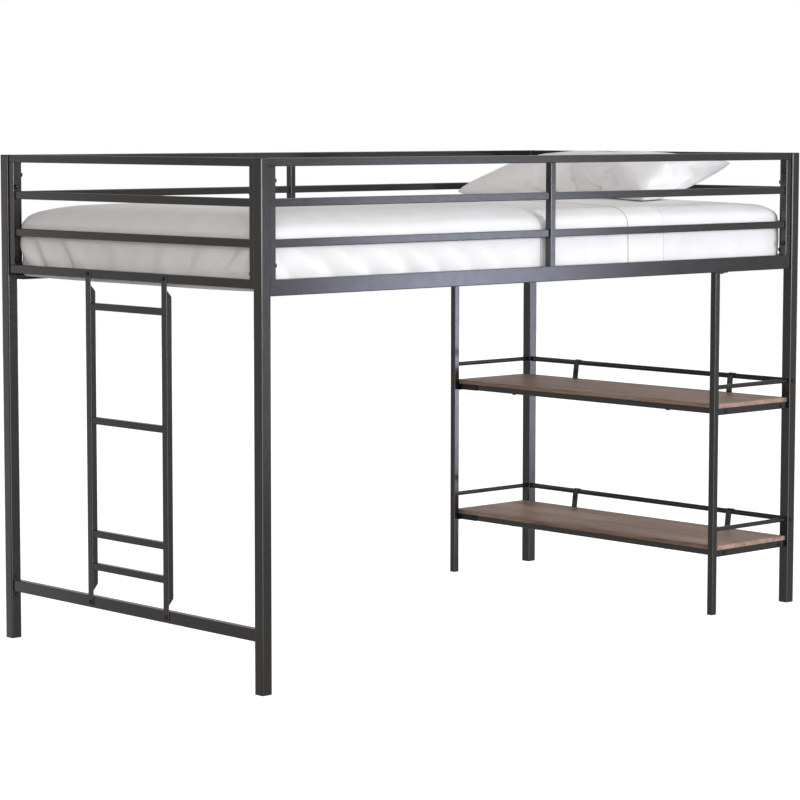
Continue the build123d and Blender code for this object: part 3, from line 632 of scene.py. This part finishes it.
def make_mattress():
    """The mattress in its ticking: a closed block that the sheets hide but for its underside."""
    inset = 2.5 * MM
    half = (COVER_HALF[0] - inset, COVER_HALF[1] - inset)
    top, floor = BED_TOP - 3.0 * MM, BED_FLOOR + 1.2 * MM
    layout = Block(half, BLOCK_CORNER, EDGE_ZONE, 30 * MM)
    rings = edge_rings(10, EDGE_DROP, top, 2.0)
    rings = leaning(rings + side_rings(top - EDGE_DROP, BED_FLOOR + BOTTOM_ROUND, 14 * MM))
    rings += under_rings(BED_FLOOR + BOTTOM_ROUND, floor, 8 * MM, 116 * MM, 24 * MM)
    points = layout.points(rings, top, BED_CROWN)
    faces = layout.faces(len(rings))

    count, ny = len(layout.walk), len(layout.ys)
    base, first = len(points), len(points) - count
    floor_core = np.column_stack([layout.core_xy, np.full(len(layout.core_xy), floor)])
    points = np.vstack([points, floor_core])
    for i in range(len(layout.xs) - 1):
        for j in range(ny - 1):
            a = base + i * ny + j
            faces.append((a, a + 1, a + ny + 1, a + ny))
    inner = [base + int(k) for k in layout.core_index]
    for p in range(count):
        q = (p + 1) % count
        faces.append(tuple(dict.fromkeys([first + p, inner[p], inner[q], first + q]))[::-1])
    sag_ends(points)
    swell_end(points)
    piece = new_piece("mattress_block", points, faces, "ticking", "bedding")
    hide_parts("mattress")
    return piece


def folds_on(side, rows):
    """Folds of one side. A row is (place at the hem, lean, width, depth in millimetres)."""
    return [(side, place, lean, width, depth * MM) for place, lean, width, depth in rows]


FITTED_FOLDS = folds_on("front", [
    (0.500, 0.05, 0.016, 1.5), (0.566, -0.10, 0.020, 1.7), (0.655, 0.05, 0.018, 1.3),
    (0.735, -0.10, 0.020, 1.8), (0.800, 0.10, 0.018, 1.4), (0.865, 0.35, 0.018, 2.2),
    (0.905, 0.55, 0.015, 1.8),
])
FITTED_FOLDS += folds_on("far", [
    (-0.42, -0.5, 0.018, 2.4), (-0.36, -0.6, 0.020, 2.0), (-0.20, 0.1, 0.025, 1.2),
    (0.02, -0.1, 0.030, 1.3), (0.24, 0.1, 0.024, 1.2), (0.37, 0.6, 0.018, 2.2),
    (0.43, 0.5, 0.016, 2.0),
])
FITTED_FOLDS += folds_on("back", [
    (0.52, 0.1, 0.020, 1.5), (0.64, -0.1, 0.022, 1.4), (0.76, 0.1, 0.018, 1.6),
    (0.87, 0.5, 0.016, 2.2),
])


def make_fitted_sheet():
    """A fitted sheet stretched over the mattress, with its elastic edge gathered underneath."""
    layout = Block(COVER_HALF, BLOCK_CORNER, EDGE_ZONE, CLOTH_STEP)
    rings = edge_rings(14, EDGE_DROP, BED_TOP, 2.0)
    rings = leaning(rings + side_rings(BED_TOP - EDGE_DROP, BED_FLOOR + BOTTOM_ROUND, SIDE_STEP))
    rings += under_rings(BED_FLOOR + BOTTOM_ROUND, BED_FLOOR, 9 * MM, 70 * MM, 6 * MM)
    points = layout.points(rings, BED_TOP, BED_CROWN)
    faces = layout.faces(len(rings))
    ways = outward(points, faces)
    lift = creases(points, ways, FITTED_FOLDS, BED_TOP - 10 * MM, BED_FLOOR)
    upward = smooth_step(0.3, 0.9, ways[:, 2])
    lift += upward * 0.9 * MM * uneven(points, 5.0, 1)
    sides = smooth_step(0.5, 0.9, np.abs(ways[:, :2]).max(axis=1))
    lift += sides * 0.7 * MM * uneven(points * np.array([1.0, 1.0, 0.35]), 16.0, 2)
    gathered = points[:, 2] < BED_FLOOR + 0.5 * MM
    around = np.arctan2(points[:, 1] * 2.0, points[:, 0])
    points = points + ways * lift[:, None]
    points[gathered, 2] = BED_FLOOR + 0.4 * MM * (1 + np.sin(around[gathered] * 240.0))
    sag_ends(points)
    swell_end(points)
    piece = new_piece("fitted_sheet", points, faces, "fitted_sheet", "bedding")
    subdivide(piece)
    return piece


HEM_BAND = 140 * MM
TOP_SHEET_FOLDS = folds_on("front", [
    (0.060, 0.10, 0.022, 1.6), (0.150, -0.15, 0.024, 1.5), (0.235, 0.10, 0.020, 1.2),
    (0.385, 0.05, 0.022, 1.0),
])
TOP_SHEET_FOLDS += folds_on("back", [
    (0.100, 0.1, 0.022, 1.6), (0.260, -0.1, 0.022, 1.4), (0.390, 0.1, 0.020, 1.2),
])


def make_top_sheet():
    """A flat sheet over the mattress. Its wide top hem is a double layer up to a stitch line."""
    end = sheet_high.x
    seam = end - HEM_BAND
    near_seam = [seam + d * MM for d in (-9, -5, -3, -1.6, 0, 1.6, 3, 5, 9)]
    half = (COVER_HALF[0] + SHEET_LIFT, COVER_HALF[1] + SHEET_LIFT)
    layout = Block(half, BLOCK_CORNER, EDGE_ZONE + 1 * MM, CLOTH_STEP, end, near_seam)
    top = BED_TOP + SHEET_LIFT
    rings = edge_rings(14, EDGE_DROP, top, 2.0)
    rings = leaning(rings + side_rings(top - EDGE_DROP, HEM, SIDE_STEP))
    points = layout.points(rings, top, BED_CROWN)
    faces = layout.faces(len(rings))
    ways = outward(points, faces)
    lift = creases(points, ways, TOP_SHEET_FOLDS + FITTED_FOLDS, BED_TOP - 10 * MM, HEM)
    x = points[:, 0]
    lift += 1.5 * MM * smooth_step(seam - 1.5 * MM, seam + 2.0 * MM, x)
    lift -= 1.6 * MM * np.exp(-(((x - seam) / (2.0 * MM)) ** 2))
    lift += 1.6 * MM * smooth_step(end - 14 * MM, end, x)
    bare = smooth_step(-0.05, 0.02, x)
    lift += bare * 0.7 * MM * uneven(points, 7.0, 3)
    lift = np.clip(lift, -0.2 * MM, 8 * MM)
    points = points + ways * lift[:, None]
    piece = new_piece("top_sheet_cloth", points, faces, "top_sheet", "bedding")
    thick = piece.modifiers.new("cloth", "SOLIDIFY")
    thick.thickness = 0.8 * MM
    thick.offset = 1.0
    subdivide(piece)
    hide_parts("top_sheet")
    return piece


COMFORTER_ZONE = 150 * MM
COMFORTER_DROP = 56 * MM
COMFORTER_TOP = BED_TOP + 12.5 * MM
COMFORTER_LINING = BED_TOP + 4.5 * MM
COMFORTER_ROLL = 5 * MM     # radius of the free edge
EDGE_SEAM = 22 * MM         # from the free edge to its seam
FOLD_GAIN = 2.3             # how much deeper the folds are than their rows say
# Round of the comforter's hem: (millimetres up, share of the thickness)
HEM_ROUND = [(5.0, 1.0), (3.2, 0.93), (1.6, 0.75), (0.5, 0.45), (0.0, 0.0)]
COMFORTER_FOLDS = folds_on("front", [
    (-0.900, -0.90, 0.032, 3.4), (-0.775, -0.85, 0.036, 4.2), (-0.640, -0.95, 0.034, 4.0),
    (-0.520, -0.80, 0.036, 4.0), (-0.405, -0.90, 0.032, 3.4), (-0.290, -0.80, 0.030, 2.8),
    (-0.180, -0.75, 0.028, 2.2), (-0.070, -0.50, 0.026, 1.2),
])
COMFORTER_FOLDS += folds_on("end", [
    (0.410, 0.85, 0.028, 3.4), (0.335, 0.65, 0.026, 3.6), (0.205, 0.70, 0.034, 4.6),
    (0.050, 0.20, 0.038, 1.4), (-0.120, -0.15, 0.038, 1.5), (-0.225, -0.75, 0.032, 2.6),
    (-0.345, -1.15, 0.040, 5.0), (-0.450, -0.80, 0.026, 2.6),
])
COMFORTER_FOLDS += folds_on("back", [
    (-0.860, 0.80, 0.030, 3.0), (-0.735, 0.70, 0.033, 3.4), (-0.610, 0.85, 0.030, 3.0),
    (-0.500, 0.60, 0.030, 3.0), (-0.385, 0.80, 0.027, 2.6), (-0.270, 0.60, 0.027, 2.4),
    (-0.150, 0.70, 0.027, 2.0), (-0.060, 0.40, 0.027, 1.2),
])


def comforter_rings(top, drop, power, inset):
    """Rings of one layer of the comforter: over the edge, down the side and round the hem."""
    made = [(share, -inset * share, z) for share, _, z in edge_rings(18, drop, top, power)]
    made += [(1.0, -inset, z) for z in np.linspace(top - drop, HEM + 9 * MM, 13)[1:]]
    return made + [(1.0, -inset, HEM + rise * MM) for rise, _ in HEM_ROUND]


def comforter_relief(points, ways, to_end):
    """Folds down the sides, soft unevenness and the seam along the free edge."""
    lift = creases(points, ways, COMFORTER_FOLDS, BED_TOP - 26 * MM, HEM)
    lift = np.clip(lift * FOLD_GAIN, -6.0 * MM, 7.5 * MM)
    upward = smooth_step(0.2, 0.9, ways[:, 2])
    lift += upward * (2.2 * MM * uneven(points, 3.2, 4) + 1.1 * MM * uneven(points, 9.0, 5))
    sides = smooth_step(0.6, 0.9, np.abs(ways[:, :2]).max(axis=1))
    lift += sides * 1.0 * MM * uneven(points * np.array([1.0, 1.0, 0.5]), 11.0, 6)
    return lift - 2.0 * MM * np.exp(-(((to_end - EDGE_SEAM) / (2.4 * MM)) ** 2))


def keep_off_rails(points):
    """Hold the sides clear of the rails, with a little more room above the lower rails."""
    room = smooth_step(RAIL_TOP + 2.5 * MM, RAIL_TOP + 20.5 * MM, points[:, 2])
    points[:, 0] = np.maximum(points[:, 0], END_LIMIT - 4.5 * MM * room)
    side_limit = SIDE_LIMIT + 4.8 * MM * room
    points[:, 1] = np.clip(points[:, 1], -side_limit, side_limit)


def closed_layers(outside, inside, thin, plump):
    """The two layers of a padded piece, which meet where thin is 0."""
    waist = 0.42
    gap = (outside - inside) * plump[:, None]
    outer = inside + gap * (waist + (1 - waist) * thin)[:, None]
    inner = inside + gap * (waist * (1 - thin))[:, None]
    return np.vstack([outer, inner])


def make_comforter():
    """A comforter over the sheet: padded, round at its free edge, with leaning side folds."""
    end = comforter_high.x
    columns = [end - COMFORTER_ROLL * (1 - math.cos(math.pi / 2 * k / 6)) for k in range(1, 7)]
    columns += [end - d * MM for d in (9, 13, 17, 20, 22, 24, 27, 31, 37, 45)]
    half = (COVER_HALF[0] + 5.0 * MM, COVER_HALF[1] + 7.5 * MM)
    layout = Block(half, BLOCK_CORNER + 12 * MM, COMFORTER_ZONE, CLOTH_STEP, end, columns)
    over = comforter_rings(COMFORTER_TOP, COMFORTER_DROP, 2.2, 0.0)
    under = comforter_rings(COMFORTER_LINING, 45 * MM, 2.6, 5.6 * MM)
    outside = layout.points(over, COMFORTER_TOP, BED_CROWN)
    inside = layout.points(under, COMFORTER_LINING, BED_CROWN)
    faces = layout.faces(len(over))
    ways = outward(outside, faces)
    to_end = end - outside[:, 0]
    outside = outside + ways * comforter_relief(outside, ways, to_end)[:, None]
    keep_off_rails(outside)

    thin = np.sqrt(np.clip(1 - (1 - np.clip(to_end / COMFORTER_ROLL, 0, 1)) ** 2, 0, 1))
    hem_row = len(layout.walk)
    for k, (_, share) in enumerate(reversed(HEM_ROUND)):
        stop = len(outside) - k * hem_row
        thin[stop - hem_row:stop] *= share
    plump = 0.42 + 0.58 * smooth_step(6 * MM, 60 * MM, to_end)
    points = closed_layers(outside, inside, thin, plump)
    sway = 5 * MM * uneven(points * np.array([0.0, 1.0, 1.0]), 6.0, 7)
    points[:, 0] += sway * smooth_step(-0.10, end, points[:, 0])
    count = len(outside)
    faces = faces + [tuple(k + count for k in reversed(face)) for face in faces]
    piece = new_piece("comforter_padded", points, faces, "comforter", "bedding")
    close_seams(piece)
    subdivide(piece)
    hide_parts("comforter")
    return piece


def close_seams(piece):
    """Join points that lie on each other, and leave out faces that had no width."""
    mesh = bmesh.new()
    mesh.from_mesh(piece.data)
    bmesh.ops.remove_doubles(mesh, verts=mesh.verts, dist=1e-6)
    bmesh.ops.dissolve_degenerate(mesh, dist=1e-7, edges=mesh.edges)
    bmesh.ops.recalc_face_normals(mesh, faces=mesh.faces)
    mesh.to_mesh(piece.data)
    mesh.free()
    piece.data.shade_smooth()


# ---- pillow: two layers sewn round the edge and blown up by a cloth simulation ----
PILLOW_FLAT = (0.455, 0.800)
PILLOW_SIZE = np.array([0.376, 0.766, 0.150])
PILLOW_TILT = 14.0
PILLOW_PRESSURE = 3.2
PILLOW_FRAMES = 24
PILLOW_SINK = 16 * MM
PILLOW_GAP = 2.5 * MM       # between the pillow and the middle of the sheet


def pillow_cover():
    """Two layers of cloth that meet at a seam, with slightly pointed corners, almost flat."""
    across, along = 48, 84
    half_x, half_y = PILLOW_FLAT[0] / 2, PILLOW_FLAT[1] / 2
    points, faces = [], []
    index = {}
    for side in (1, -1):
        for i in range(across + 1):
            for j in range(along + 1):
                u, v = 2 * i / across - 1, 2 * j / along - 1
                rim = max(abs(u), abs(v)) == 1
                if rim and side == -1:
                    index[(side, i, j)] = index[(1, i, j)]
                    continue
                x = half_x * u * (1 - 0.045 * (1 - v * v))
                y = half_y * v * (1 - 0.030 * (1 - u * u))
                puff = 0.016 * (1 - u ** 4) * (1 - v ** 4)
                rough = 0.0022 * noise.noise(Vector((x * 14, y * 14, side * 3.0)))
                index[(side, i, j)] = len(points)
                points.append((x, y, side * (puff + (0 if rim else 0.001)) + rough))
    for side in (1, -1):
        for i in range(across):
            for j in range(along):
                corners = ((i, j), (i + 1, j), (i + 1, j + 1), (i, j + 1))
                face = [index[(side, a, b)] for a, b in corners]
                faces.append(tuple(face if side == 1 else face[::-1]))
    return points, faces


def blow_up(piece, pressure, frames):
    """Run Blender's cloth with air pressure inside and no gravity, and keep the result."""
    cloth = piece.modifiers.new("fill", "CLOTH")
    rules = cloth.settings
    rules.quality = 6
    rules.mass = 0.12
    rules.tension_stiffness = rules.compression_stiffness = 22
    rules.shear_stiffness = 8
    rules.bending_stiffness = 0.35
    rules.use_pressure = True
    rules.uniform_pressure_force = pressure
    rules.effector_weights.gravity = 0.0
    cloth.collision_settings.use_collision = False
    cloth.point_cache.frame_start, cloth.point_cache.frame_end = 1, frames
    scene.frame_start, scene.frame_end = 1, frames
    for number in range(1, frames + 1):
        scene.frame_set(number)
    shape = piece.evaluated_get(bpy.context.evaluated_depsgraph_get())
    made = np.array([tuple(v.co) for v in shape.data.vertices])
    piece.modifiers.remove(cloth)
    scene.frame_set(1)
    return made


def plumped(shape):
    """The blown-up shape at the pillow's size: fuller towards its seam, soft and crumpled."""
    shape = shape - (shape.max(axis=0) + shape.min(axis=0)) / 2
    shape = shape * (PILLOW_SIZE / (shape.max(axis=0) - shape.min(axis=0)))
    half_thick = PILLOW_SIZE[2] / 2
    thick = shape[:, 2] / half_thick
    shape[:, 2] = np.sign(thick) * np.abs(thick) ** 0.80 * half_thick
    middle = 1 - (2 * shape[:, 1] / PILLOW_SIZE[1]) ** 2
    shape[:, 0] *= 1 + 0.05 * middle
    near_front = np.exp(-(((shape[:, 1] + 0.21) / 0.11) ** 2))
    shape[:, 2] += 7 * MM * thick * near_front - 4 * MM * middle
    inside = smooth_step(0.02, 0.25, np.abs(thick))
    crumple = 2.6 * MM * uneven(shape, 9.0, 8)
    crumple += 1.3 * MM * uneven(shape * np.array([1.0, 0.6, 1.0]), 22.0, 9)
    shape[:, 2] += inside * crumple
    return shape


def laid_down(shape):
    """The shape tilted towards the shelf end and set on the bed, flat where it would sink in."""
    tilt = math.radians(PILLOW_TILT)
    x = shape[:, 0] * math.cos(tilt) - shape[:, 2] * math.sin(tilt)
    z = shape[:, 0] * math.sin(tilt) + shape[:, 2] * math.cos(tilt)
    centre = (pillow_low + pillow_high) / 2
    place = np.column_stack([x + centre.x, shape[:, 1] + centre.y, z])
    crown = crown_share(place[:, 0] / COVER_HALF[0], place[:, 1] / COVER_HALF[1])
    bed = BED_TOP + BED_CROWN * crown + PILLOW_GAP
    place[:, 2] += BED_TOP - PILLOW_SINK - place[:, 2].min()
    sink = bed - place[:, 2]
    place[:, 2] = np.where(sink > 0, bed - 0.05 * sink, place[:, 2])
    return place


def make_pillow():
    """A filled pillow in its case, leaning a little on the bed."""
    points, faces = pillow_cover()
    piece = new_piece("pillow_filled", points, faces, "pillow_case", "pillow_body")
    shape = np.array(points)
    shape = blow_up(piece, PILLOW_PRESSURE, PILLOW_FRAMES)
    for vertex, point in zip(piece.data.vertices, laid_down(plumped(shape))):
        vertex.co = point
    piece.data.update()
    subdivide(piece)
    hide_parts("pillow")
    return piece


make_camera()
make_studio()
dress_frame()
make_mattress()
make_fitted_sheet()
make_top_sheet()
make_comforter()
make_pillow()
